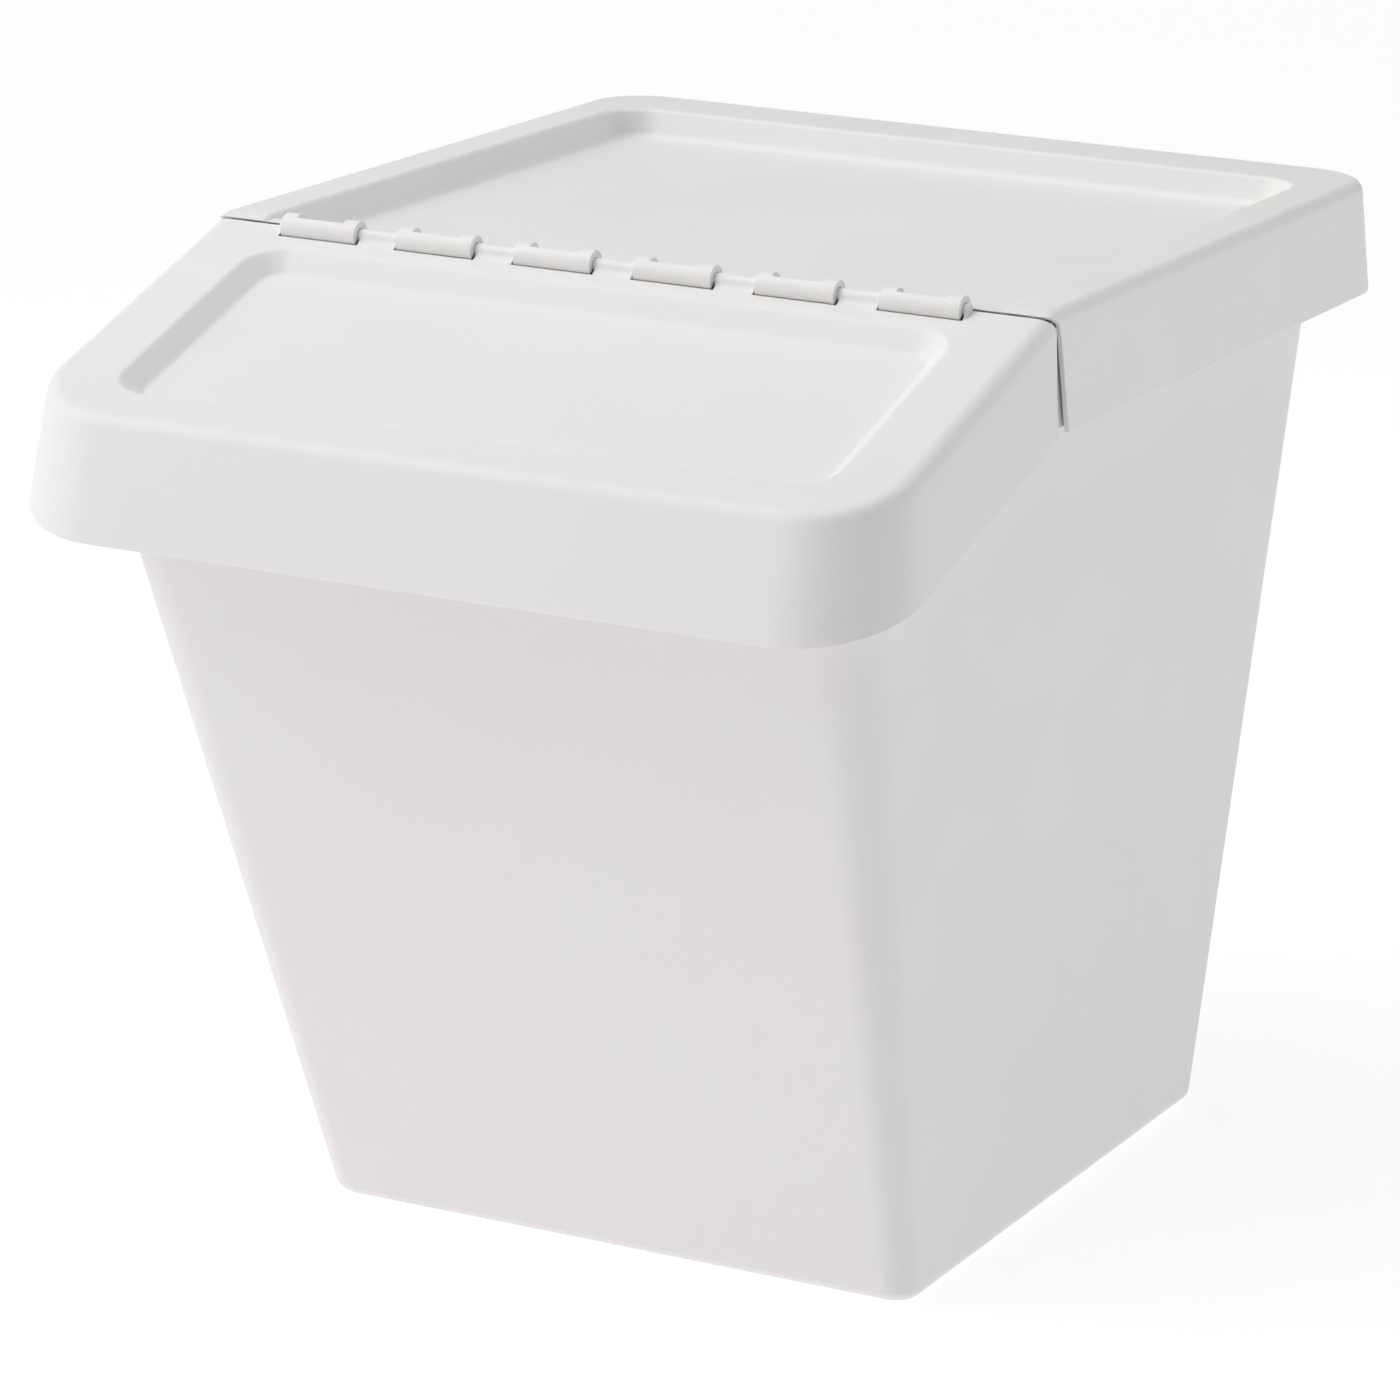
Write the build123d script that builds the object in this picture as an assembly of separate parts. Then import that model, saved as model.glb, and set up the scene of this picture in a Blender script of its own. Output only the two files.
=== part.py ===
"""Lidded waste-sorting bin: a tapered tub, a rear lid that clips on and a hinged sloping front flap.

Millimetres. X is the width, -Y is the front, +Z is up. The origin is the middle of the
footprint of the whole bin, on the surface that it stands on.
"""

import os
from math import cos, radians, sin, tan

from build123d import *

# Overall size
WIDTH = 400.0
DEPTH = 550.0
LID_TOP = 438.7

# Lids: how far their skirts hang below the top, how much the skirts lean out, and the walls
SKIRT = 50.0
FLAP_SKIRT = 48.0
SKIRT_LEAN = 0.11
WALL = 2.2
REAR_CORNER = 36.0
FLAP_CORNER = 47.0
REAR_TOP_ROUND = 6.0
FLAP_TOP_ROUND = 7.5

# Where the flat rear top ends and the sloping front begins
FOLD_Y = -96.0
SLOPE = radians(17.8)
FLAP_FRONT_TOP_Y = -265.0

# Gap between the rear lid and the flap. On top the lid's lip reaches forward over the flap's edge;
# below the knee the gap stands nearly upright and opens downwards.
EDGE_KNEE = 6.0
REAR_EDGE_TOP_Y = -106.3
REAR_EDGE_KNEE_Y = -96.5
REAR_EDGE_BOTTOM_Y = -94.8
FLAP_EDGE_TOP_Y = -107.3
FLAP_EDGE_KNEE_Y = -100.5
FLAP_EDGE_BOTTOM_Y = -105.8

# Tub: outline at the bottom, and how far each wall leans out per millimetre of height
TUB_HALF_WIDTH = 141.84
TUB_FRONT = -91.3
TUB_BACK = 229.93
TUB_CORNER = 12.94
SIDE_LEAN = 0.093
FRONT_LEAN = 0.411
BACK_LEAN = 0.04
CORNER_GROWTH = 0.034
TUB_WALL = 2.4
TUB_FLOOR = 3.0
FOOT_ROUND = 6.5

# Rim of the tub, under the lids; lower under the flap, whose rear edge dips when it opens
RIM_GAP = 1.3
RIM_DROP = 4.0
FRONT_RIM_DROP = 6.5
RIM_WALL = 2.0

# Stacking tray in the rear lid, with a low wall at the front that carries the hooks
TRAY_HALF_WIDTH = 172.0
TRAY_FRONT = -94.0
TRAY_BACK = 230.5
TRAY_DEPTH = 13.0
TRAY_WALL_LEAN = 0.35
TRAY_CORNER = 20.0
TRAY_FLOOR_ROUND = 4.0

# Shallow tray in the flap, measured down the slope from the fold
DISH_HALF_WIDTH = 163.0
DISH_TOP = 27.0
DISH_BOTTOM = 156.0
DISH_DEPTH = 8.0
DISH_WALL_LEAN = 1.1
DISH_CORNER = 18.0
DISH_FLOOR_ROUND = 3.0

# Hinge: a bar along the flap, held by hooks on the rear lid
HINGE_Y = -107.0
HINGE_Z = LID_TOP - 2.3
BAR_RADIUS = 3.0
HOOK_COUNT = 6
HOOK_PITCH = 55.9
HOOK_LENGTH = 36.0
HOOK_BORE = 3.08
HOOK_RADIUS = 6.0
HOOK_REAR_ANGLE = -35.0
HOOK_FRONT_ANGLE = 216.0
WINDOW_SHARE = 0.62
WINDOW_ANGLES = (30.0, 122.0)
SLOT_SIDE_GAP = 1.0
SLOT_RADIUS = 6.5

# Far enough to pass through everything
FAR = 700.0

hinge_span = (HOOK_COUNT - 1) * HOOK_PITCH + HOOK_LENGTH
hook_starts = [-hinge_span / 2 + index * HOOK_PITCH for index in range(HOOK_COUNT)]


def outline(half_width, front, back, radius):
    """Rounded rectangle, drawn flat, from y=front to y=back."""
    return Pos(0, (front + back) / 2) * RectangleRounded(2 * half_width, back - front, radius)


def side_profile(points):
    """Solid of a side-view outline, given as (y, z) points, across the whole width."""
    face = make_face(Plane.YZ * Polyline(*points, close=True))
    return extrude(face, FAR / 2, both=True)


def below_top(drop):
    """Everything lower than the lids' top surface moved down by drop."""
    flat = LID_TOP - drop
    return side_profile(
        [
            (-FAR, -FAR),
            (FAR, -FAR),
            (FAR, flat),
            (FOLD_Y, flat),
            (-FAR, flat - (FAR + FOLD_Y) * tan(SLOPE)),
        ]
    )


def behind(top_y, knee_y, bottom_y):
    """Everything behind an edge through top_y at the lids' top, knee_y, and bottom_y at the hem."""
    upper_run = (knee_y - top_y) / EDGE_KNEE
    lower_run = (bottom_y - knee_y) / (SKIRT - EDGE_KNEE)
    return side_profile(
        [
            (top_y - upper_run * FAR, LID_TOP + FAR),
            (FAR, LID_TOP + FAR),
            (FAR, LID_TOP - FAR),
            (knee_y + lower_run * (FAR - EDGE_KNEE), LID_TOP - FAR),
            (knee_y, LID_TOP - EDGE_KNEE),
        ]
    )


def rear_cover(inset, drop=0.0, hem=0.0, top_round=0.0):
    """Solid block in the shape of the rear lid, shrunk by inset, its top lowered by drop."""
    sections = []
    for depth in (SKIRT + hem, drop):
        lean = SKIRT_LEAN * (SKIRT - depth)
        radius = REAR_CORNER - lean - inset
        shape = outline(WIDTH / 2 - lean - inset, -FAR / 2, DEPTH / 2 - lean - inset, radius)
        sections.append(Plane.XY.offset(LID_TOP - depth) * shape)
    block = loft(sections, ruled=True)
    if top_round:
        block = fillet(block.faces().sort_by(Axis.Z)[-1].edges(), top_round)
    return block


slope_frame = Plane(
    origin=(0, FOLD_Y, LID_TOP),
    x_dir=(1, 0, 0),
    z_dir=(0, -sin(SLOPE), cos(SLOPE)),
)
hem_depth = FLAP_SKIRT * cos(SLOPE)
hem_front_z = LID_TOP - FLAP_SKIRT - (FOLD_Y + DEPTH / 2) * tan(SLOPE)
flap_hem_front = slope_frame.to_local_coords(Vector(0, -DEPTH / 2, hem_front_z)).Y
flap_top_front = (FLAP_FRONT_TOP_Y - FOLD_Y) / cos(SLOPE)
flap_front_lean = (flap_top_front - flap_hem_front) / hem_depth


def flap_cover(inset, drop=0.0, hem=0.0, top_round=0.0):
    """Solid block in the shape of the flap, carried on behind the fold so it can be cut there."""
    sections = []
    for depth in (hem_depth + hem, drop):
        share = (hem_depth - depth) / hem_depth
        side = SKIRT_LEAN * FLAP_SKIRT * share
        front = flap_hem_front + flap_front_lean * hem_depth * share
        front_inset = inset * (1 + flap_front_lean**2) ** 0.5
        shape = outline(WIDTH / 2 - side - inset, front + front_inset, 90, FLAP_CORNER - side - inset)
        sections.append(slope_frame * (Pos(0, 0, -depth) * shape))
    block = loft(sections, ruled=True)
    if top_round:
        top_face = max(block.faces(), key=lambda face: slope_frame.to_local_coords(face.center()).Z)
        block = fillet(top_face.edges(), top_round)
    return block


def tub_block(inset, floor):
    """Solid block in the shape of the tub, shrunk by inset, standing on height floor."""
    sections = []
    for height in (floor, LID_TOP + 20):
        shape = outline(
            TUB_HALF_WIDTH + SIDE_LEAN * height - inset,
            TUB_FRONT - FRONT_LEAN * height + inset * (1 + FRONT_LEAN**2) ** 0.5,
            TUB_BACK + BACK_LEAN * height - inset,
            TUB_CORNER + CORNER_GROWTH * height - inset,
        )
        sections.append(Plane.XY.offset(height) * shape)
    return loft(sections, ruled=True)


def rounded_floor(block, frame, radius):
    """The same block with the edges of its lowest face, seen in frame, rounded."""
    floor = min(block.faces(), key=lambda face: frame.to_local_coords(face.center()).Z)
    return fillet(floor.edges(), radius)


def make_tub():
    rear_part = behind(FOLD_Y, FOLD_Y, FOLD_Y)
    walls = rounded_floor(tub_block(0, 0), Plane.XY, FOOT_ROUND)
    inside = rounded_floor(tub_block(TUB_WALL, TUB_FLOOR), Plane.XY, FOOT_ROUND - TUB_WALL)
    outer_gap = WALL + RIM_GAP
    inner_gap = outer_gap + RIM_WALL
    rear_rim = rear_cover(outer_gap, RIM_DROP) - rear_cover(inner_gap, RIM_DROP + RIM_WALL, 5)
    front_rim = flap_cover(outer_gap, FRONT_RIM_DROP) - flap_cover(
        inner_gap, FRONT_RIM_DROP + RIM_WALL, 5
    )
    rear_half = (walls & below_top(RIM_DROP)) + rear_rim
    front_half = (walls & below_top(FRONT_RIM_DROP)) + (front_rim & below_top(FRONT_RIM_DROP))
    return (rear_half & rear_part) + (front_half - rear_part) - inside


def tray_block(grow, depth, floor_round):
    """The hollow above the rear lid's stacking tray, grown sideways, down to the given depth."""
    sections = []
    for level in (depth, -5.0):
        lean = TRAY_WALL_LEAN * level
        shape = outline(
            TRAY_HALF_WIDTH - lean + grow, -FAR / 2, TRAY_BACK - lean + grow, TRAY_CORNER - lean + grow
        )
        sections.append(Plane.XY.offset(LID_TOP - level) * shape)
    return rounded_floor(loft(sections, ruled=True), Plane.XY, floor_round)


def ring_sector(inner, outer, start_angle, end_angle, x_start, length):
    """Part of a tube about the hinge axis. Angles run from the back, over the top, to the front."""
    axis_frame = Plane(origin=(x_start, HINGE_Y, HINGE_Z), x_dir=(0, 1, 0), z_dir=(1, 0, 0))
    tube = Circle(outer) - Circle(inner)
    reach = 3 * outer
    steps = 6
    corners = [(0, 0)]
    for step in range(steps + 1):
        angle = radians(start_angle + (end_angle - start_angle) * step / steps)
        corners.append((reach * cos(angle), reach * sin(angle)))
    sector = make_face(Polyline(*corners, close=True))
    return extrude(axis_frame * (tube & sector), length)


def make_hook(x_start):
    hook = ring_sector(
        HOOK_BORE, HOOK_RADIUS, HOOK_REAR_ANGLE, HOOK_FRONT_ANGLE, x_start, HOOK_LENGTH
    )
    window_length = HOOK_LENGTH * WINDOW_SHARE
    window_start = x_start + (HOOK_LENGTH - window_length) / 2
    return hook - ring_sector(
        HOOK_BORE - 1, HOOK_RADIUS + 1, *WINDOW_ANGLES, window_start, window_length
    )


def front_wall(width, front):
    """Low wall across the front of the tray, as high as the hinge axis."""
    return Pos(0, front, HINGE_Z) * Box(
        width,
        TRAY_FRONT - front,
        HINGE_Z - LID_TOP + TRAY_DEPTH + WALL,
        align=(Align.CENTER, Align.MIN, Align.MAX),
    )


def make_rear_lid():
    kept_side = behind(REAR_EDGE_TOP_Y, REAR_EDGE_KNEE_Y, REAR_EDGE_BOTTOM_Y)
    shell = rear_cover(0, top_round=REAR_TOP_ROUND) & kept_side
    # The lip in front of the fold follows the flap's slope
    shell = shell - slope_frame * Box(
        FAR, FAR, FAR, align=(Align.CENTER, Align.CENTER, Align.MIN)
    )
    hollow = rear_cover(WALL, WALL, 5, REAR_TOP_ROUND - WALL)
    liner = tray_block(WALL, TRAY_DEPTH + WALL, TRAY_FLOOR_ROUND + WALL) & shell
    lid = shell - hollow + liner - tray_block(0, TRAY_DEPTH, TRAY_FLOOR_ROUND)
    hook_front = HINGE_Y + HOOK_RADIUS - 0.2
    lid = lid + (front_wall(2 * TRAY_HALF_WIDTH, HINGE_Y) & kept_side)
    lid = lid + front_wall(hinge_span, hook_front)
    for x_start in hook_starts:
        lid = lid + make_hook(x_start)
    return lid


def dish_block(grow, depth, floor_round):
    """The hollow above the flap's shallow tray, grown sideways, down to the given depth."""
    sections = []
    for level in (depth, -3.0):
        lean = DISH_WALL_LEAN * level
        shape = outline(
            DISH_HALF_WIDTH - lean + grow,
            -DISH_BOTTOM + lean - grow,
            -DISH_TOP - lean + grow,
            DISH_CORNER - lean + grow,
        )
        sections.append(slope_frame * (Pos(0, 0, -level) * shape))
    return rounded_floor(loft(sections, ruled=True), slope_frame, floor_round)


def make_front_flap():
    shell = flap_cover(0, top_round=FLAP_TOP_ROUND) - behind(
        FLAP_EDGE_TOP_Y, FLAP_EDGE_KNEE_Y, FLAP_EDGE_BOTTOM_Y
    )
    hollow = flap_cover(WALL, WALL, 5, FLAP_TOP_ROUND - WALL)
    liner = dish_block(WALL, DISH_DEPTH + WALL, DISH_FLOOR_ROUND + WALL) & shell
    flap = shell - hollow + liner - dish_block(0, DISH_DEPTH, DISH_FLOOR_ROUND)
    # Between the outermost hooks the plate ends in the hinge bar
    margin = SLOT_SIDE_GAP
    behind_axis = Pos(0, HINGE_Y, HINGE_Z) * Box(
        hinge_span + 2 * margin, 40, 40, align=(Align.CENTER, Align.MIN, Align.CENTER)
    )
    flap = flap - behind_axis
    for x_start in hook_starts:
        slot_frame = Plane(origin=(x_start - margin, HINGE_Y, HINGE_Z), x_dir=(0, 1, 0), z_dir=(1, 0, 0))
        flap = flap - extrude(slot_frame * Circle(SLOT_RADIUS), HOOK_LENGTH + 2 * margin)
    bar_length = hinge_span + 2 * margin + 4
    bar_frame = Plane(origin=(-bar_length / 2, HINGE_Y, HINGE_Z), x_dir=(0, 1, 0), z_dir=(1, 0, 0))
    return flap + extrude(bar_frame * Circle(BAR_RADIUS), bar_length)


def main():
    pieces = {
        "tub": make_tub(),
        "rear_lid": make_rear_lid(),
        "front_flap": make_front_flap(),
    }
    os.makedirs("parts", exist_ok=True)
    for name, piece in pieces.items():
        export_step(piece, f"parts/{name}.step")
        print(name, round(piece.volume), piece.bounding_box().min, piece.bounding_box().max)


main()
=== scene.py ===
"""Looks of the lidded waste-sorting bin: tub, rear lid and hinged front flap in moulded plastic.

Shapes are worked out in millimetres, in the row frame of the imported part, and scaled to metres
when a mesh is made. A moulded shell has two skins with the same faces, the outer and the inner
one, and its open border is closed between them. The lid's hooks, the wall in front of its tray, and
the flap's bar and ridges are closed solids that overlap the shells.
"""

from math import atan, cos, pi, radians, sin, sqrt, tan

import bmesh
import bpy
from mathutils import Matrix, Vector


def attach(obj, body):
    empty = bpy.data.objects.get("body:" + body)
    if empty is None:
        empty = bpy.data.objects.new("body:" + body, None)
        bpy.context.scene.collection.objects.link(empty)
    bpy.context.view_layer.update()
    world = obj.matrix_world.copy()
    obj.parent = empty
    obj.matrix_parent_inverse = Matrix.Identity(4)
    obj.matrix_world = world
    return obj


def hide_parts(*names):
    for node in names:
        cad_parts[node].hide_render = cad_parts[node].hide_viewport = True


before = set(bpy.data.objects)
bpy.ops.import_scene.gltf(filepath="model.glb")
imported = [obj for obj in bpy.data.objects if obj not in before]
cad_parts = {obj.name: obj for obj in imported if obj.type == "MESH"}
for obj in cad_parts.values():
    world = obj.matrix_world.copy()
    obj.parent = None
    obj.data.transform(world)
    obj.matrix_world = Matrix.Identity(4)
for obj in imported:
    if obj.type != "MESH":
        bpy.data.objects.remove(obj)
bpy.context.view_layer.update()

MM = 0.001

# Lids: the same driving sizes as the CAD model
HALF_WIDTH = 200.0
HALF_DEPTH = 275.0
LID_TOP = 438.7
SKIRT = 50.0
FLAP_SKIRT = 48.0
SKIRT_LEAN = 0.11
WALL = 2.2
REAR_CORNER = 36.0
FLAP_CORNER = 47.0
REAR_TOP_ROUND = 6.0
FLAP_TOP_ROUND = 7.5
FOLD_Y = -96.0
SLOPE = radians(17.8)
FLAP_FRONT_TOP_Y = -265.0
# The gap between the lids: the knee's depth, and each edge's y at the top, the knee and the hem
EDGE_KNEE = 6.0
REAR_EDGE = (-106.3, -96.5, -94.8)
FLAP_EDGE = (-107.3, -100.5, -105.8)

# Stacking tray in the rear lid
TRAY_HALF_WIDTH = 172.0
TRAY_BACK = 230.5
TRAY_CORNER = 20.0
TRAY_DEPTH = 13.0
TRAY_LEAN = 0.35
TRAY_EDGE_ROUND = 2.6
TRAY_FLOOR_ROUND = 4.5
TRAY_FRONT = -94.0

# Shallow tray in the flap
DISH_HALF_WIDTH = 163.0
DISH_TOP = -27.0
DISH_BOTTOM = -156.0
DISH_CORNER = 18.0
DISH_DEPTH = 8.0
DISH_LEAN = 1.1
DISH_EDGE_ROUND = 3.5
DISH_FLOOR_ROUND = 4.0

# Tub
TUB_HALF_WIDTH = 141.84
TUB_FRONT = -91.3
TUB_BACK = 229.93
TUB_CORNER = 12.94
SIDE_LEAN = 0.093
FRONT_LEAN = 0.411
BACK_LEAN = 0.04
CORNER_GROWTH = 0.034
TUB_WALL = 2.4
TUB_FLOOR = 3.0
FOOT_ROUND = 6.5
RIM_GAP = 1.3
RIM_DROP = 4.0
FRONT_RIM_DROP = 6.5
RIM_WALL = 2.0
# Length of the ramp in front of the fold where the rim drops
RIM_RAMP = 10.0
# y of the line between the tub's front and rear halves, at the foot
TUB_SPLIT = 16.0

# Hinge
HINGE_Y = -107.0
HINGE_Z = LID_TOP - 2.3
BAR_RADIUS = 3.0
BAR_SLACK = 0.15
HOOK_COUNT = 6
HOOK_PITCH = 55.9
HOOK_LENGTH = 36.0
HOOK_BORE = 3.08
HOOK_RADIUS = 6.0
HOOK_REAR_ANGLE = -35.0
HOOK_FRONT_ANGLE = 216.0
WINDOW_ANGLES = (30.0, 122.0)
WINDOW_SHARE = 0.62
SLOT_SIDE_GAP = 1.0
SLOT_RADIUS = 6.5
# Ridges between the hooks: the curve from the flap's plate up to the bar, the angle at which the
# outline leaves the bar, how far in front of the axis it meets the plate's underside, and the
# length of the short ridge at each end
RIDGE_SWEEP = 4.0
RIDGE_LAST_ANGLE = radians(-75)
RIDGE_REAR = 1.0
END_RIDGE = 1.2

# Wall in front of the stacking tray: the round at its foot, and the toe inside the tray's floor
# with its margins below the floor's top and above its underside
FOOT_OF_WALL_ROUND = 3.0
TOE = 4.0
TOE_MARGINS = (0.6, 0.4)

# How far solids reach into their neighbours, so that no two faces coincide
HOOK_OVERLAP = 0.2
TRAY_WALL_OVERLAP = 0.5
RIDGE_OVERLAP = 0.6
BAR_OVERLAP = 0.8
# Margins of the block behind the hooks inside the wall: below, above and behind
BLOCK_MARGINS = (0.3, 1.0, 1.5)

# Softened edges
TUB_BEVEL = 0.6
LID_BEVEL = 0.4
BEVEL_SEGMENTS = 3
BEVEL_ANGLE = radians(38)
NORMAL_WEIGHT = 80
MERGE_DISTANCE = 1e-7

# Mesh density
SIDE_STEPS = 14
EDGE_STEPS = 4
CORNER_STEPS = 12
ROUND_STEPS = 6
WALL_STEPS = 10
SKIRT_STEPS = 5
PATCH_STEPS = 5
NEAR_STEPS = 3
REAR_COLUMNS = 12
HOOK_STEPS = (5, 8, 12)
BAR_STEPS = 28
SWEEP_STEPS = 8
RIDGE_BAR_STEPS = 16
RIM_SHARES = (0.0, 0.3, 0.65, 1.0)
# Rounds of the searches for the rim's depth and for the height of the tub's wall
RIM_ROUNDS = 4
WALL_ROUNDS = 8
# Least length of the faces along the lids' edges at the gap, and the least corner radius
LIP_LAND = 1.0
EDGE_LAND = 4.0
LEAST_RADIUS = 2.0

SIN = sin(SLOPE)
COS = cos(SLOPE)
hem_depth = FLAP_SKIRT * COS
hem_front_z = LID_TOP - FLAP_SKIRT - (FOLD_Y + HALF_DEPTH) * tan(SLOPE)
flap_hem_front = (-HALF_DEPTH - FOLD_Y) * COS + (hem_front_z - LID_TOP) * SIN
flap_top_front = (FLAP_FRONT_TOP_Y - FOLD_Y) / COS
hinge_v = (HINGE_Y - FOLD_Y) * COS + (HINGE_Z - LID_TOP) * SIN
hinge_n = -(HINGE_Y - FOLD_Y) * SIN + (HINGE_Z - LID_TOP) * COS
slot_front = hinge_v - sqrt(SLOT_RADIUS**2 - hinge_n**2)
hinge_span = (HOOK_COUNT - 1) * HOOK_PITCH + HOOK_LENGTH
hook_starts = [-hinge_span / 2 + index * HOOK_PITCH for index in range(HOOK_COUNT)]
notch_half = hinge_span / 2 + SLOT_SIDE_GAP


def spread(start, end, steps):
    """Evenly spaced values from start up to, but not including, end."""
    return [start + (end - start) * step / steps for step in range(steps)]


def slope_point(x, v, n):
    """Point in the flap's own frame: v up the slope from the fold, n out of its top surface."""
    return (x, FOLD_Y + v * COS - n * SIN, LID_TOP + v * SIN + n * COS)


class Skin:
    """Points and faces of one surface. Two skins built alike share their faces."""

    def __init__(self):
        self.points = []
        self.faces = []

    def add(self, points):
        start = len(self.points)
        self.points.extend(points)
        return list(range(start, len(self.points)))

    def band(self, first, second, closed=False):
        count = len(first)
        for i in range(count if closed else count - 1):
            j = (i + 1) % count
            self.faces.append((first[i], first[j], second[j], second[i]))

    def fill(self, ring, arm, shares, first_row=None):
        """Rows across a U-shaped ring, whose arms have arm points each. Returns the first row."""
        rows = []
        for i in range(arm):
            left, right = ring[i], ring[-1 - i]
            if i == 0 and first_row:
                rows.append(first_row)
                continue
            a, b = Vector(self.points[left]), Vector(self.points[right])
            middle = self.add([tuple(a.lerp(b, (share + 1) / 2)) for share in shares[1:-1]])
            rows.append([left] + middle + [right])
        rows.append(ring[arm : len(ring) - arm])
        for first, second in zip(rows, rows[1:]):
            self.band(first, second)
        return rows[0]


def u_shape(half_width, closed_end, radius, arm, shares, corner_steps=CORNER_STEPS):
    """(x, y) along a U: down the left arm, round the closed end, and up the right arm."""
    side = 1 if closed_end > arm[0] else -1
    corner = closed_end - side * radius
    left = [(-half_width, y) for y in arm]
    for step in range(corner_steps):
        angle = pi / 2 * step / corner_steps
        left.append((-half_width + radius * (1 - cos(angle)), corner + side * radius * sin(angle)))
    end = [(share * (half_width - radius), closed_end) for share in shares]
    return left + end + [(-x, y) for x, y in reversed(left)]


def u_normals(side, arm_count, shares):
    """Directions into the U, one for each of u_shape's points."""
    left = [(1.0, 0.0)] * arm_count
    for step in range(CORNER_STEPS):
        angle = pi / 2 * step / CORNER_STEPS
        left.append((cos(angle), -side * sin(angle)))
    return left + [(0.0, -side)] * len(shares) + [(-x, y) for x, y in reversed(left)]


def closed_ring(front, rear):
    """One closed ring from two U-shapes that share their ends."""
    return front + rear[::-1][1:-1]


def rear_half(ring):
    """The rear U of a closed ring, from its left end to its right one."""
    return [ring[0]] + ring[: FRONT_COUNT - 1 : -1] + [ring[FRONT_COUNT - 1]]


def round_over(radius, lean):
    """(inwards, depth) pairs from a wall with that lean up to the flat top beside it."""
    start = atan(lean)
    pairs = []
    for step in range(ROUND_STEPS + 1):
        angle = start + (pi / 2 - start) * step / ROUND_STEPS
        pairs.append((radius * (cos(start) - cos(angle)), radius * (1 - sin(angle))))
    return pairs


def tray_profile(depth, lean, edge_round, floor_round, wall, outer):
    """(inwards from the tray's outline, depth) from the flat top down to the flat floor."""
    tilt = atan(lean)
    offset = 0.0 if outer else wall
    pairs = []
    centre = lean * edge_round - edge_round / cos(tilt)
    radius = edge_round - offset
    for step in range(ROUND_STEPS + 1):
        angle = pi / 2 - (pi / 2 - tilt) * step / ROUND_STEPS
        pairs.append((centre + radius * cos(angle), edge_round - radius * sin(angle)))
    low = depth - floor_round
    centre = lean * low + floor_round / cos(tilt)
    radius = floor_round + offset
    for step in range(ROUND_STEPS + 1):
        angle = tilt + (pi / 2 - tilt) * step / ROUND_STEPS
        pairs.append((centre - radius * cos(angle), low + radius * sin(angle)))
    return pairs


REAR_SHARES = [2 * step / REAR_COLUMNS - 1 for step in range(REAR_COLUMNS + 1)]
slot_edges = []
for start in hook_starts:
    slot_edges += [start - SLOT_SIDE_GAP, start + HOOK_LENGTH + SLOT_SIDE_GAP]
dish_straight = DISH_HALF_WIDTH - DISH_CORNER
FLAP_SHARES = [-1.0] + [edge / dish_straight for edge in slot_edges[1:-1]] + [1.0]
ARM_COUNT = SIDE_STEPS + CORNER_STEPS
FRONT_COUNT = 2 * ARM_COUNT + len(FLAP_SHARES)


def edge_y(edge, depth):
    """Where an edge of the gap between the lids lies at one depth below the lids' top."""
    top, knee, bottom = edge
    if depth < EDGE_KNEE:
        return top + (knee - top) * depth / EDGE_KNEE
    return knee + (bottom - knee) * (depth - EDGE_KNEE) / (SKIRT - EDGE_KNEE)


def rear_outline(inset, depth):
    """Half width, back end and corner radius of the rear cover at one depth."""
    lean = SKIRT_LEAN * (SKIRT - depth)
    return HALF_WIDTH - lean - inset, HALF_DEPTH - lean - inset, REAR_CORNER - lean - inset


def lip_end(offset):
    """How far forward the rear lid's lip reaches at the surface that lies offset under its top."""
    run = (REAR_EDGE[1] - REAR_EDGE[0]) / EDGE_KNEE
    fall = tan(SLOPE)
    return (REAR_EDGE[0] + run * (offset + fall * FOLD_Y)) / (1 + run * fall)


def rear_arm(depth, offset, end):
    """y along one side of the rear lid, from its front edge back to end."""
    front = max(edge_y(REAR_EDGE, depth), lip_end(offset))
    return [front] + spread(max(FOLD_Y, front + LIP_LAND), end, SIDE_STEPS - 1)


def lip_point(x, y, depth, offset):
    """Point on the rear lid, kept under the slope in front of the fold."""
    slope_depth = offset + tan(SLOPE) * (FOLD_Y - y)
    return (x, y, LID_TOP - max(depth, slope_depth))


def rear_lid_skin(outer):
    skin = Skin()
    inset = 0.0 if outer else WALL
    offset = inset / COS
    radius = REAR_TOP_ROUND - inset
    normals = u_normals(1, SIDE_STEPS, REAR_SHARES)
    rings = []
    start = inset + radius * (1 - sin(atan(SKIRT_LEAN)))
    sections = [(depth, depth, 0.0) for depth in spread(SKIRT, start, SKIRT_STEPS)]
    for inwards, down in round_over(radius, SKIRT_LEAN):
        sections.append((start, inset + down, inwards))
    for wall_depth, depth, inwards in sections:
        half_width, back, corner = rear_outline(inset, wall_depth)
        arm = rear_arm(depth, offset, back - corner)
        ring = u_shape(half_width, back, corner, arm, REAR_SHARES)
        rings.append(
            [
                lip_point(x + nx * inwards, y + ny * inwards, depth, offset)
                for (x, y), (nx, ny) in zip(ring, normals)
            ]
        )
    for inwards, depth in tray_profile(
        TRAY_DEPTH, TRAY_LEAN, TRAY_EDGE_ROUND, TRAY_FLOOR_ROUND, WALL, outer
    ):
        corner = TRAY_CORNER - inwards
        arm = rear_arm(depth, offset, TRAY_BACK - inwards - corner)
        ring = u_shape(TRAY_HALF_WIDTH - inwards, TRAY_BACK - inwards, corner, arm, REAR_SHARES)
        rings.append([lip_point(x, y, depth, offset) for x, y in ring])
    indices = [skin.add(ring) for ring in rings]
    for first, second in zip(indices, indices[1:]):
        skin.band(first, second)
    skin.fill(indices[-1], ARM_COUNT, REAR_SHARES)
    return skin


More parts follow.
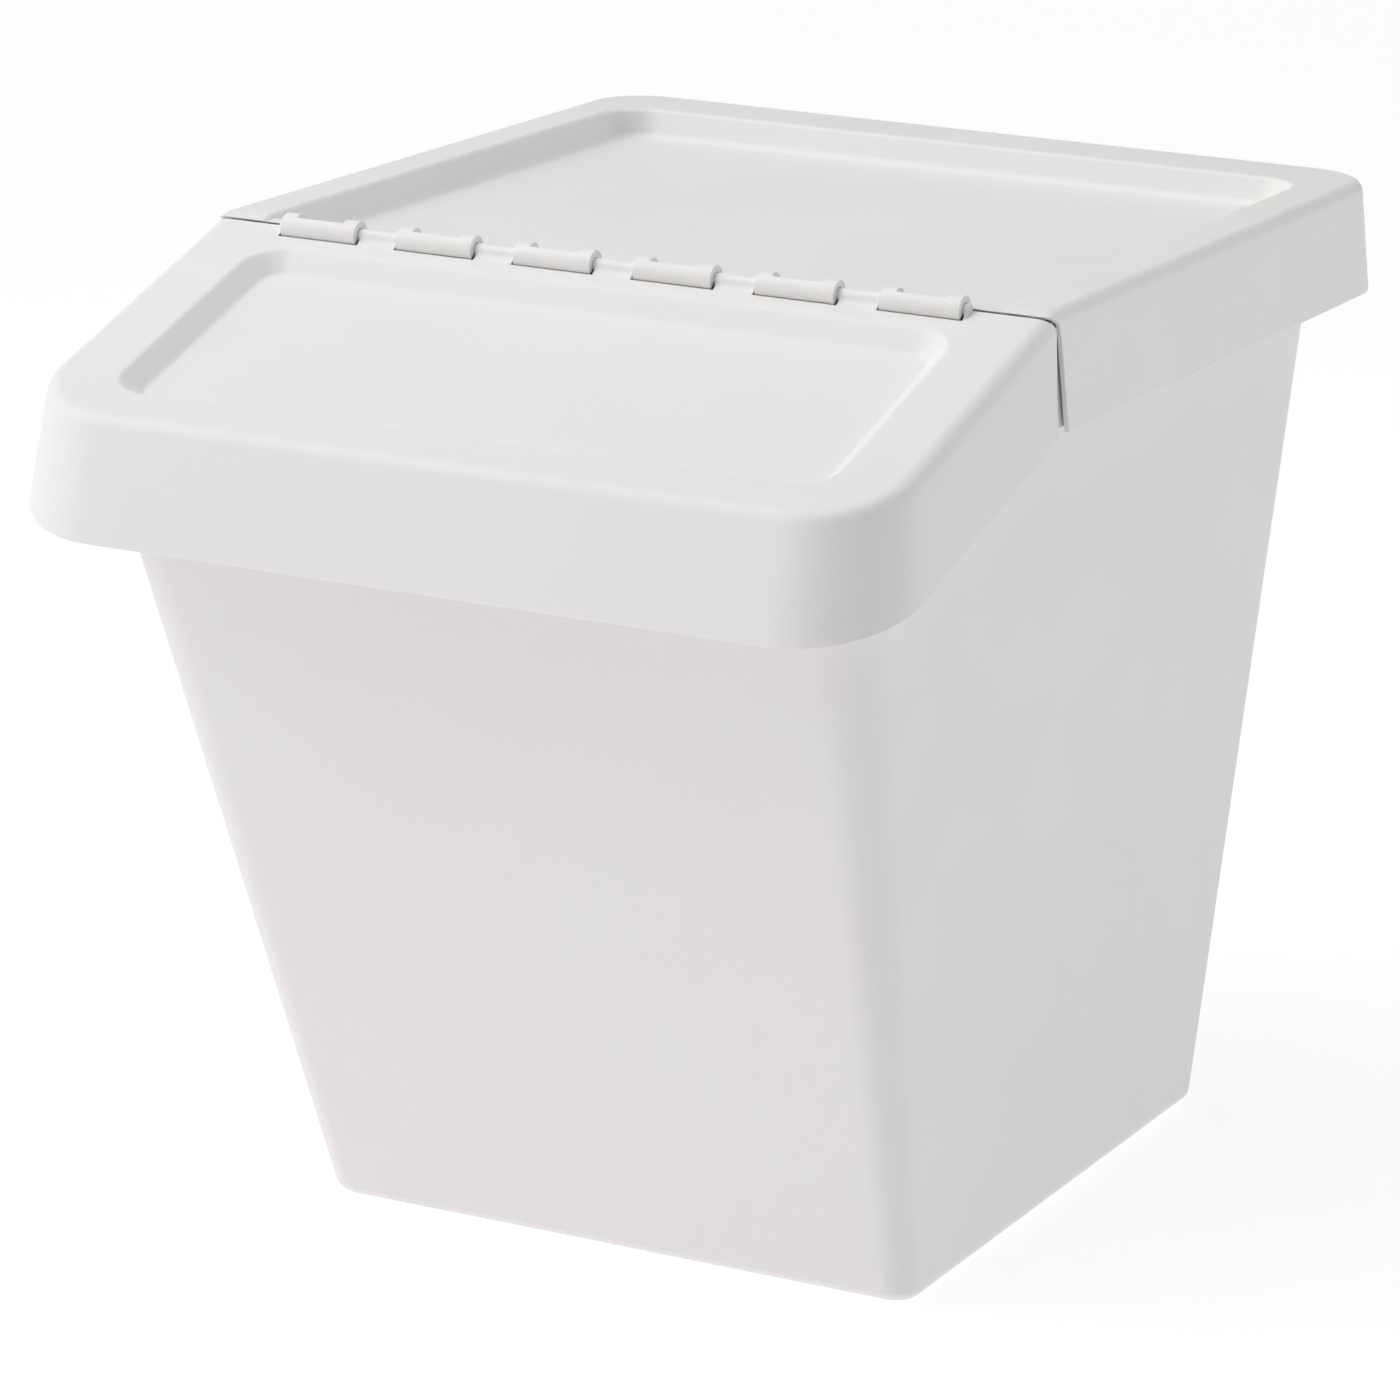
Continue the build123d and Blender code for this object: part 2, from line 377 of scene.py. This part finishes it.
def flap_edge_v(n):
    """Where the flap's rear edge meets the height n over the flap's top surface."""
    top, knee, bottom = FLAP_EDGE
    upper_run = (knee - top) / EDGE_KNEE
    lower_run = (bottom - knee) / (SKIRT - EDGE_KNEE)
    limits = []
    for start, run in ((top, upper_run), (knee - lower_run * EDGE_KNEE, lower_run)):
        limits.append((start - FOLD_Y + n * (SIN - run * COS)) / (COS + run * SIN))
    return min(limits)


def front_ring(inset, depth, rear_v, split_v=None):
    """U-shape on the front cover, open at rear_v, at one depth below its sloping top."""
    share = (hem_depth - depth) / hem_depth
    side = SKIRT_LEAN * FLAP_SKIRT * share
    front_lean = (flap_top_front - flap_hem_front) / hem_depth
    front = flap_hem_front + front_lean * hem_depth * share + inset * sqrt(1 + front_lean**2)
    radius = FLAP_CORNER - side - inset
    if split_v is None:
        arm = spread(rear_v, front + radius, SIDE_STEPS)
    else:
        # The rear edge leans forwards towards the hem, and the split stays in front of it
        split = min(split_v, rear_v - EDGE_LAND)
        arm = spread(rear_v, split, EDGE_STEPS) + spread(split, front + radius, SIDE_STEPS)
    return u_shape(HALF_WIDTH - side - inset, front, radius, arm, FLAP_SHARES)


def front_leans(normals):
    side = SKIRT_LEAN * FLAP_SKIRT / hem_depth
    front = (flap_top_front - flap_hem_front) / hem_depth
    return [side + (front - side) * abs(ny) for nx, ny in normals]


def flap_skin(outer):
    skin = Skin()
    inset = 0.0 if outer else WALL
    radius = FLAP_TOP_ROUND - inset
    normals = u_normals(-1, EDGE_STEPS + SIDE_STEPS, FLAP_SHARES)
    leans = front_leans(normals)
    starts = [inset + radius * (1 - sin(atan(lean))) for lean in leans]
    rings = []
    for share in spread(0.0, 1.0, SKIRT_STEPS):
        ring = []
        for column, start in enumerate(starts):
            depth = hem_depth + (start - hem_depth) * share
            x, v = front_ring(inset, depth, flap_edge_v(-depth), slot_front)[column]
            ring.append(slope_point(x, v, -depth))
        rings.append(ring)
    tops = []
    rounds = [round_over(radius, lean) for lean in leans]
    for step in range(ROUND_STEPS + 1):
        ring = []
        for column, start in enumerate(starts):
            inwards, down = rounds[column][step]
            depth = inset + down
            x, v = front_ring(inset, start, flap_edge_v(-depth), slot_front)[column]
            nx, ny = normals[column]
            tops.append((x + nx * inwards, v + ny * inwards))
            ring.append(slope_point(*tops[-1], -depth))
        rings.append(ring)
    indices = [skin.add(ring) for ring in rings]
    for first, second in zip(indices, indices[1:]):
        skin.band(first, second)
    # The flat top behind the slots' front edges, left and right of the notch for the hinge
    top = indices[-1]
    flat = tops[-len(top) :]
    corner_rows = {}
    for side in (-1, 1):
        previous = None
        for column in range(EDGE_STEPS + 1):
            index = column if side < 0 else -1 - column
            x0, v0 = flat[index]
            row = [top[index]]
            for step in range(1, PATCH_STEPS + 1):
                x = x0 + (side * notch_half - x0) * step / PATCH_STEPS
                row += skin.add([slope_point(x, v0, -inset)])
            if previous:
                skin.band(previous, row)
            previous = row
        corner_rows[side] = previous
    # The line along the slots' front edges, from left to right
    near = []
    for step in range(1, NEAR_STEPS):
        near.append(-(notch_half + (dish_straight - notch_half) * step / NEAR_STEPS))
    line = corner_rows[-1] + skin.add([slope_point(x, slot_front, -inset) for x in near])
    line += skin.add([slope_point(s * dish_straight, slot_front, -inset) for s in FLAP_SHARES])
    line += skin.add([slope_point(-x, slot_front, -inset) for x in reversed(near)])
    line += corner_rows[1][::-1]
    outline = top[EDGE_STEPS : len(top) - EDGE_STEPS] + line[::-1][1:-1]
    # The dish
    rear_steps = PATCH_STEPS + NEAR_STEPS
    previous = outline
    for inwards, depth in tray_profile(
        DISH_DEPTH, DISH_LEAN, DISH_EDGE_ROUND, DISH_FLOOR_ROUND, WALL, outer
    ):
        corner = DISH_CORNER - inwards
        half = DISH_HALF_WIDTH - inwards
        low, high = DISH_BOTTOM + inwards, DISH_TOP - inwards
        arm = spread(high - corner, low + corner, SIDE_STEPS)
        front = u_shape(half, low, corner, arm, FLAP_SHARES)
        rear = u_shape(half, high, corner, [high - corner], FLAP_SHARES, rear_steps)
        rear = [rear[0]] + rear[2:-2] + [rear[-1]]
        ring = skin.add([slope_point(x, v, -depth) for x, v in closed_ring(front, rear)])
        skin.band(previous, ring, closed=True)
        previous = ring
    first_row = skin.fill(previous[:FRONT_COUNT], ARM_COUNT, FLAP_SHARES)
    skin.fill(rear_half(previous), rear_steps, FLAP_SHARES, first_row)
    return skin


def lid_top_at(y):
    return LID_TOP - max(0.0, FOLD_Y - y) * tan(SLOPE)


def rim_drop_at(y):
    """The rim lies lower under the flap, past a short ramp in front of the fold."""
    ramp = min(1.0, max(0.0, FOLD_Y - y) / RIM_RAMP)
    return RIM_DROP + (FRONT_RIM_DROP - RIM_DROP) * ramp


def tub_ring(height, inset):
    """Closed ring on the tub's walls at one height."""
    front = TUB_FRONT - FRONT_LEAN * height + inset * sqrt(1 + FRONT_LEAN**2)
    back = TUB_BACK + BACK_LEAN * height - inset
    half = TUB_HALF_WIDTH + SIDE_LEAN * height - inset
    radius = max(TUB_CORNER + CORNER_GROWTH * height - inset, LEAST_RADIUS)
    split = TUB_SPLIT + (FOLD_Y - TUB_SPLIT) * height / (LID_TOP - RIM_DROP)
    front_arm = spread(split, front + radius, SIDE_STEPS)
    rear_arm_y = spread(split, back - radius, SIDE_STEPS)
    front_u = u_shape(half, front, radius, front_arm, FLAP_SHARES)
    rear_u = u_shape(half, back, radius, rear_arm_y, FLAP_SHARES)
    return closed_ring(front_u, rear_u)


def rim_ring(inset, share, drop):
    """Closed ring on the rim, from its top (share 0, lowered by drop) to its hem (share 1)."""
    rear_depth = RIM_DROP + drop + (SKIRT - RIM_DROP - drop) * share
    half_width, back, corner = rear_outline(inset, rear_depth)
    arm = spread(FOLD_Y, back - corner, SIDE_STEPS)
    rear_u = u_shape(half_width, back, corner, arm, FLAP_SHARES)
    rear_points = [(x, y, LID_TOP - rear_depth) for x, y in rear_u]
    ring = []
    for column in range(FRONT_COUNT):
        depth = FRONT_RIM_DROP
        for _ in range(RIM_ROUNDS):
            rear_v = -depth * tan(SLOPE)
            x, v = front_ring(inset, depth, rear_v)[column]
            y = slope_point(x, v, -depth)[1]
            top = rim_drop_at(y) + drop
            depth = top + (hem_depth - top) * share
        ring.append(slope_point(x, v, -depth))
    return closed_ring(ring, rear_points)


def tub_skin(inside):
    """The inside skin runs from the floor up the wall, out over the rim and down its skirt."""
    skin = Skin()
    inset = TUB_WALL if inside else 0.0
    floor = TUB_FLOOR if inside else 0.0
    rim_inset = WALL + RIM_GAP + (0.0 if inside else RIM_WALL)
    drop = 0.0 if inside else RIM_WALL
    rings = []
    for step in range(ROUND_STEPS):
        angle = pi / 2 * (1 - step / ROUND_STEPS)
        inwards = FOOT_ROUND * (1 - cos(angle))
        height = floor + FOOT_ROUND * (1 - sin(angle))
        rings.append([(x, y, height) for x, y in tub_ring(height, inset + inwards)])
    tops = []
    for column in range(len(rings[0])):
        height = LID_TOP
        for _ in range(WALL_ROUNDS):
            x, y = tub_ring(height, inset)[column]
            height = lid_top_at(y) - (rim_drop_at(y) + drop) / (COS if y < FOLD_Y else 1.0)
        tops.append(height)
    for step in range(WALL_STEPS + 1):
        ring = []
        for column, top in enumerate(tops):
            height = floor + FOOT_ROUND + (top - floor - FOOT_ROUND) * step / WALL_STEPS
            x, y = tub_ring(height, inset)[column]
            ring.append((x, y, height))
        rings.append(ring)
    for share in RIM_SHARES:
        rings.append(rim_ring(rim_inset, share, drop))
    indices = [skin.add(ring) for ring in rings]
    for first, second in zip(indices, indices[1:]):
        skin.band(first, second, closed=True)
    base = indices[0]
    first_row = skin.fill(base[:FRONT_COUNT], ARM_COUNT, FLAP_SHARES)
    skin.fill(rear_half(base), ARM_COUNT, FLAP_SHARES, first_row)
    return skin


def shell_mesh(outer, inner):
    """Closed mesh between two skins with the same faces, as lists of points and faces."""
    count = len(outer.points)
    faces = list(outer.faces)
    faces += [tuple(index + count for index in face[::-1]) for face in inner.faces]
    uses = {}
    for face in outer.faces:
        for a, b in zip(face, face[1:] + face[:1]):
            key = (min(a, b), max(a, b))
            uses[key] = uses.get(key, 0) + 1
    for (a, b), used in uses.items():
        if used == 1:
            faces.append((a, b, b + count, a + count))
    return outer.points + inner.points, faces


def strip_solid(pairs, xs, missing):
    """Solid of a strip of (inner, outer) points in side view, between the stations xs.

    missing holds (segment, span) cells that are left out.
    """
    points = []
    for x in xs:
        for inner, outer in pairs:
            points += [(x, *inner), (x, *outer)]
    stride = 2 * len(pairs)
    present = {
        (segment, span)
        for segment in range(len(pairs) - 1)
        for span in range(len(xs) - 1)
        if (segment, span) not in missing
    }
    faces = []
    for segment, span in present:
        a = span * stride + 2 * segment
        inner0, outer0, inner1, outer1 = a, a + 1, a + 2, a + 3
        faces.append((inner0, inner1, inner1 + stride, inner0 + stride))
        faces.append((outer0, outer1, outer1 + stride, outer0 + stride))
        if (segment - 1, span) not in present:
            faces.append((inner0, outer0, outer0 + stride, inner0 + stride))
        if (segment + 1, span) not in present:
            faces.append((inner1, outer1, outer1 + stride, inner1 + stride))
        if (segment, span - 1) not in present:
            faces.append((inner0, inner1, outer1, outer0))
        if (segment, span + 1) not in present:
            faces.append(tuple(index + stride for index in (inner0, inner1, outer1, outer0)))
    return points, faces


def prism(outline, start, end, end_at=None):
    """Solid of a side-view outline between two x stations. end_at gives |x| for a height."""
    points = []
    for x in (start, end):
        for y, z in outline:
            if end_at:
                x = end_at(z) if x > 0 else -end_at(z)
            points.append((x, y, z))
    count = len(outline)
    faces = [tuple(range(count)), tuple(range(2 * count - 1, count - 1, -1))]
    for i in range(count):
        j = (i + 1) % count
        faces.append((i, j, j + count, i + count))
    return points, faces


def hook_solid(start):
    """C-shaped hook about the hinge bar, with a window at the top."""
    rear_steps, window_steps, front_steps = HOOK_STEPS
    angles = spread(HOOK_REAR_ANGLE, WINDOW_ANGLES[0], rear_steps)
    angles += spread(*WINDOW_ANGLES, window_steps)
    angles += spread(WINDOW_ANGLES[1], HOOK_FRONT_ANGLE, front_steps) + [HOOK_FRONT_ANGLE]
    pairs = []
    for angle in angles:
        direction = (cos(radians(angle)), sin(radians(angle)))
        pairs.append(
            [
                (HINGE_Y + radius * direction[0], HINGE_Z + radius * direction[1])
                for radius in (HOOK_BORE, HOOK_RADIUS)
            ]
        )
    side = HOOK_LENGTH * (1 - WINDOW_SHARE) / 2
    xs = [start, start + side, start + HOOK_LENGTH - side, start + HOOK_LENGTH]
    missing = {(rear_steps + segment, 1) for segment in range(window_steps)}
    return strip_solid(pairs, xs, missing)


def front_wall_outlines():
    """Side views of the block behind the hooks, and of the low wall in front of the tray."""
    floor = LID_TOP - TRAY_DEPTH
    bottom = floor - WALL
    below, above, behind = BLOCK_MARGINS
    front, rear = HINGE_Y + HOOK_RADIUS - HOOK_OVERLAP, TRAY_FRONT - behind
    low, high = bottom + below, HINGE_Z - above
    block = [(front, low), (front, high), (rear, high), (rear, low)]
    wall_front = [
        (edge_y(REAR_EDGE, depth), LID_TOP - depth)
        for depth in (LID_TOP - bottom, EDGE_KNEE, LID_TOP - HINGE_Z)
    ]
    back = [(TRAY_FRONT, HINGE_Z)]
    for step in range(ROUND_STEPS + 1):
        angle = pi / 2 * step / ROUND_STEPS
        y = TRAY_FRONT + FOOT_OF_WALL_ROUND * (1 - cos(angle))
        back.append((y, floor + FOOT_OF_WALL_ROUND * (1 - sin(angle))))
    back.append((TRAY_FRONT + TOE, floor - TOE_MARGINS[0]))
    back.append((TRAY_FRONT + TOE, bottom + TOE_MARGINS[1]))
    return block, wall_front + back


def ridge_outline():
    """Side view of the flap between two hooks: its plate sweeps up into the hinge bar."""
    rise = RIDGE_SWEEP - hinge_n
    run = sqrt((RIDGE_SWEEP + BAR_RADIUS) ** 2 - rise**2)
    join = -atan(rise / run)
    points = [(slot_front - RIDGE_OVERLAP, 0.0)]
    for step in range(SWEEP_STEPS + 1):
        angle = -pi / 2 + (join + pi / 2) * step / SWEEP_STEPS
        v = hinge_v - run + RIDGE_SWEEP * cos(angle)
        points.append((v, RIDGE_SWEEP + RIDGE_SWEEP * sin(angle)))
    first = pi + join
    for step in range(1, RIDGE_BAR_STEPS + 1):
        angle = first + (RIDGE_LAST_ANGLE - first) * step / RIDGE_BAR_STEPS
        points.append((hinge_v + BAR_RADIUS * cos(angle), hinge_n + BAR_RADIUS * sin(angle)))
    points.append((hinge_v - RIDGE_REAR, -WALL))
    points.append((slot_front - RIDGE_OVERLAP, -WALL))
    return [slope_point(0.0, v, n)[1:] for v, n in points]


def bar_outline():
    """Side view of the hinge bar inside the hooks, slightly thinner than their bore."""
    radius = BAR_RADIUS - BAR_SLACK
    angles = [2 * pi * step / BAR_STEPS for step in range(BAR_STEPS)]
    return [(HINGE_Y + radius * cos(angle), HINGE_Z + radius * sin(angle)) for angle in angles]


def mesh_object(name, solids, body, node, bevel):
    """One piece from several closed solids, with softened edges, riding on its body."""
    points = []
    faces = []
    for solid_points, solid_faces in solids:
        offset = len(points)
        points += [tuple(value * MM for value in point) for point in solid_points]
        faces += [tuple(index + offset for index in face) for face in solid_faces]
    mesh = bpy.data.meshes.new(name)
    mesh.from_pydata(points, [], faces)
    work = bmesh.new()
    work.from_mesh(mesh)
    bmesh.ops.remove_doubles(work, verts=work.verts, dist=MERGE_DISTANCE)
    bmesh.ops.recalc_face_normals(work, faces=work.faces)
    work.to_mesh(mesh)
    work.free()
    mesh.shade_smooth()
    piece = bpy.data.objects.new(name, mesh)
    bpy.context.collection.objects.link(piece)
    soften = piece.modifiers.new("Soft edges", "BEVEL")
    soften.width = bevel * MM
    soften.segments = BEVEL_SEGMENTS
    soften.limit_method = "ANGLE"
    soften.angle_limit = BEVEL_ANGLE
    soften.use_clamp_overlap = True
    soften.miter_outer = "MITER_ARC"
    weighted = piece.modifiers.new("Even shading", "WEIGHTED_NORMAL")
    weighted.keep_sharp = True
    weighted.weight = NORMAL_WEIGHT
    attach(piece, body)
    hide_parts(node)
    return piece


# Moulded plastic: each noise's scale in cells per metre, its detail and its roughness
CLOUDS = (9.0, 3.0, 0.55)
WAVES = (22.0, 1.0, 0.4)
GRAIN = (1700.0, 2.0, 0.6)
# Strength and depth in metres of the bumps
WAVE_BUMP = (0.25, 0.0006)
GRAIN_BUMP = (0.35, 0.00006)
# The part of the waves that counts, and how far it moves the roughness down and up
WAVE_RANGE = (0.3, 0.7)
GLOSS_SWING = (-0.05, 0.06)
PLASTIC = {
    "IOR": 1.49,
    "Specular IOR Level": 0.4,
    "Subsurface Weight": 0.06,
    "Subsurface Radius": (1.0, 0.95, 0.9),
    "Subsurface Scale": 0.003,
}
# The two tones that the clouds move between, and the roughness
LID_WHITE = ((0.826, 0.812, 0.797), (0.846, 0.838, 0.826), 0.46)
TUB_WHITE = ((0.802, 0.776, 0.768), (0.818, 0.802, 0.796), 0.48)


def moulded_plastic(name, warm, cool, roughness):
    """Satin moulded polypropylene: fine grain, faint flow clouds and slightly uneven gloss."""
    material = bpy.data.materials.new(name)
    material.use_nodes = True
    tree = material.node_tree
    shader = tree.nodes["Principled BSDF"]
    place = tree.nodes.new("ShaderNodeTexCoord")

    def noise(scale, detail, rough):
        node = tree.nodes.new("ShaderNodeTexNoise")
        node.inputs["Scale"].default_value = scale
        node.inputs["Detail"].default_value = detail
        node.inputs["Roughness"].default_value = rough
        tree.links.new(place.outputs["Object"], node.inputs["Vector"])
        return node

    def bump(height, strength, distance):
        node = tree.nodes.new("ShaderNodeBump")
        node.inputs["Strength"].default_value = strength
        node.inputs["Distance"].default_value = distance
        tree.links.new(height.outputs["Fac"], node.inputs["Height"])
        return node

    clouds = noise(*CLOUDS)
    grain = noise(*GRAIN)
    waves = noise(*WAVES)
    tone = tree.nodes.new("ShaderNodeMix")
    tone.data_type = "RGBA"
    tone.inputs["A"].default_value = (*warm, 1)
    tone.inputs["B"].default_value = (*cool, 1)
    tree.links.new(clouds.outputs["Fac"], tone.inputs["Factor"])
    tree.links.new(tone.outputs["Result"], shader.inputs["Base Color"])
    gloss = tree.nodes.new("ShaderNodeMapRange")
    gloss.inputs["From Min"].default_value = WAVE_RANGE[0]
    gloss.inputs["From Max"].default_value = WAVE_RANGE[1]
    gloss.inputs["To Min"].default_value = roughness + GLOSS_SWING[0]
    gloss.inputs["To Max"].default_value = roughness + GLOSS_SWING[1]
    tree.links.new(waves.outputs["Fac"], gloss.inputs["Value"])
    tree.links.new(gloss.outputs["Result"], shader.inputs["Roughness"])
    broad = bump(waves, *WAVE_BUMP)
    fine = bump(grain, *GRAIN_BUMP)
    tree.links.new(broad.outputs["Normal"], fine.inputs["Normal"])
    tree.links.new(fine.outputs["Normal"], shader.inputs["Normal"])
    for socket, value in PLASTIC.items():
        shader.inputs[socket].default_value = value
    return material


def tray_wall_x(z):
    """|x| at which the wall in front of the tray ends, within the tray's leaning sides."""
    return TRAY_HALF_WIDTH + TRAY_WALL_OVERLAP - TRAY_LEAN * (LID_TOP - z)


tub_solids = [shell_mesh(tub_skin(True), tub_skin(False))]
tub = mesh_object("tub_shell", tub_solids, "tub", "tub", TUB_BEVEL)

lid_solids = [shell_mesh(rear_lid_skin(True), rear_lid_skin(False))]
block, wall = front_wall_outlines()
lid_solids.append(prism(block, -hinge_span / 2, hinge_span / 2))
lid_solids.append(prism(wall, -1.0, 1.0, tray_wall_x))
for start in hook_starts:
    lid_solids.append(hook_solid(start))
lid = mesh_object("rear_lid_shell", lid_solids, "rear_lid", "rear_lid", LID_BEVEL)

flap_solids = [shell_mesh(flap_skin(True), flap_skin(False))]
ridge = ridge_outline()
for left, right in zip(slot_edges[1:-1:2], slot_edges[2:-1:2]):
    flap_solids.append(prism(ridge, left, right))
flap_solids.append(prism(ridge, -notch_half - END_RIDGE, -notch_half))
flap_solids.append(prism(ridge, notch_half, notch_half + END_RIDGE))
bar = bar_outline()
for left, right in zip(slot_edges[::2], slot_edges[1::2]):
    flap_solids.append(prism(bar, left - BAR_OVERLAP, right + BAR_OVERLAP))
flap = mesh_object(
    "front_flap_shell", flap_solids, "front_flap", "front_flap", LID_BEVEL
)

lid_white = moulded_plastic("moulded_white_lids", *LID_WHITE)
tub_white = moulded_plastic("moulded_white_tub", *TUB_WHITE)
tub.data.materials.append(tub_white)
lid.data.materials.append(lid_white)
flap.data.materials.append(lid_white)

# Floor
FLOOR_SIZE = 60
FLOOR_TONE = 0.36
FLOOR_GLOW = 0.76
FLOOR_ROUGHNESS = 0.8

bpy.ops.mesh.primitive_plane_add(size=FLOOR_SIZE)
floor = bpy.context.object
floor.name = "studio_floor"
floor_material = bpy.data.materials.new("studio_floor")
floor_material.use_nodes = True
floor_shader = floor_material.node_tree.nodes["Principled BSDF"]
floor_shader.inputs["Base Color"].default_value = (FLOOR_TONE, FLOOR_TONE, FLOOR_TONE, 1)
floor_shader.inputs["Roughness"].default_value = FLOOR_ROUGHNESS
floor_shader.inputs["Emission Color"].default_value = (1, 1, 1, 1)
floor_shader.inputs["Emission Strength"].default_value = FLOOR_GLOW
floor.data.materials.append(floor_material)

# Light
# Broad glows in the sky: each one's azimuth from the front towards the right and its height, in
# degrees, then its sharpness, strength and tint
NEUTRAL = (1.0, 1.0, 1.0)
COOL = (0.93, 1.0, 1.0)
WARM = (1.0, 0.95, 0.97)
SKY_GLOWS = [
    (-60, 50, 6, 0.72, NEUTRAL),
    (-50, 15, 12, 1.22, WARM),
    (-30, 50, 7, 1.1, NEUTRAL),
    (125, 15, 12, 2.28, COOL),
    (180, 10, 4, 0.23, NEUTRAL),
    (240, 10, 4, 0.54, NEUTRAL),
]
# Softboxes aimed at the middle of the bin: name, place, side in metres and power in watts
SOFTBOX_AIM = (0, 0, 0.25)
SOFTBOXES = [
    ("top_light", (0, 0, 1.6), 1.4, 6.3),
    ("left_light", (-0.9, -0.8, 1.5), 0.9, 4.7),
]

world = bpy.data.worlds.new("studio")
bpy.context.scene.world = world
world.use_nodes = True
sky_tree = world.node_tree
sky_place = sky_tree.nodes.new("ShaderNodeTexCoord").outputs["Generated"]


def sky_step(kind, operation, *inputs, output=0):
    """One math node of the sky. Inputs are values or sockets."""
    node = sky_tree.nodes.new(kind)
    node.operation = operation
    for socket, value in zip(node.inputs, inputs):
        if isinstance(value, bpy.types.NodeSocket):
            sky_tree.links.new(value, socket)
        else:
            socket.default_value = value
    return node.outputs[output]


sky_colour = (0.0, 0.0, 0.0)
for azimuth, elevation, sharpness, strength, tint in SKY_GLOWS:
    turn = radians(azimuth)
    lift = radians(elevation)
    towards = (sin(turn) * cos(lift), -cos(turn) * cos(lift), sin(lift))
    facing = sky_step("ShaderNodeVectorMath", "DOT_PRODUCT", sky_place, towards, output="Value")
    facing = sky_step("ShaderNodeMath", "MAXIMUM", facing, 0.0)
    lobe = sky_step("ShaderNodeMath", "POWER", facing, sharpness)
    colour = tuple(strength * channel for channel in tint)
    glow = sky_step("ShaderNodeVectorMath", "MULTIPLY", lobe, colour)
    sky_colour = sky_step("ShaderNodeVectorMath", "ADD", sky_colour, glow)
sky_tree.links.new(sky_colour, sky_tree.nodes["Background"].inputs["Color"])

for name, place, side, power in SOFTBOXES:
    lamp = bpy.data.lights.new(name, "AREA")
    lamp.shape = "SQUARE"
    lamp.size = side
    lamp.energy = power
    holder = bpy.data.objects.new(name, lamp)
    holder.location = place
    aim = Vector(SOFTBOX_AIM) - Vector(place)
    holder.rotation_euler = aim.to_track_quat("-Z", "Y").to_euler()
    bpy.context.collection.objects.link(holder)

# Camera: place in metres, turns, lens and sensor in millimetres, and reach in metres
CAMERA_PLACE = (1.12490, -2.29258, 0.92607)
YAW, PITCH, ROLL = radians(26.3288), radians(-15.3360), radians(1.4897)
LENS = 155.66
SENSOR_WIDTH = 36.0
CLIP_END = 60.0

camera_data = bpy.data.cameras.new("camera")
camera_data.sensor_width = SENSOR_WIDTH
camera_data.lens = LENS
camera_data.clip_end = CLIP_END
camera = bpy.data.objects.new("camera", camera_data)
forward = Vector((-sin(YAW) * cos(PITCH), cos(YAW) * cos(PITCH), sin(PITCH)))
right = Vector((cos(YAW), sin(YAW), 0))
up = right.cross(forward)
across = right * cos(ROLL) + up * sin(ROLL)
upward = up * cos(ROLL) - right * sin(ROLL)
camera.matrix_world = Matrix.Translation(CAMERA_PLACE) @ Matrix(
    (across, upward, -forward)
).transposed().to_4x4()
bpy.context.collection.objects.link(camera)
bpy.context.scene.camera = camera

bpy.context.scene.view_settings.view_transform = "Standard"
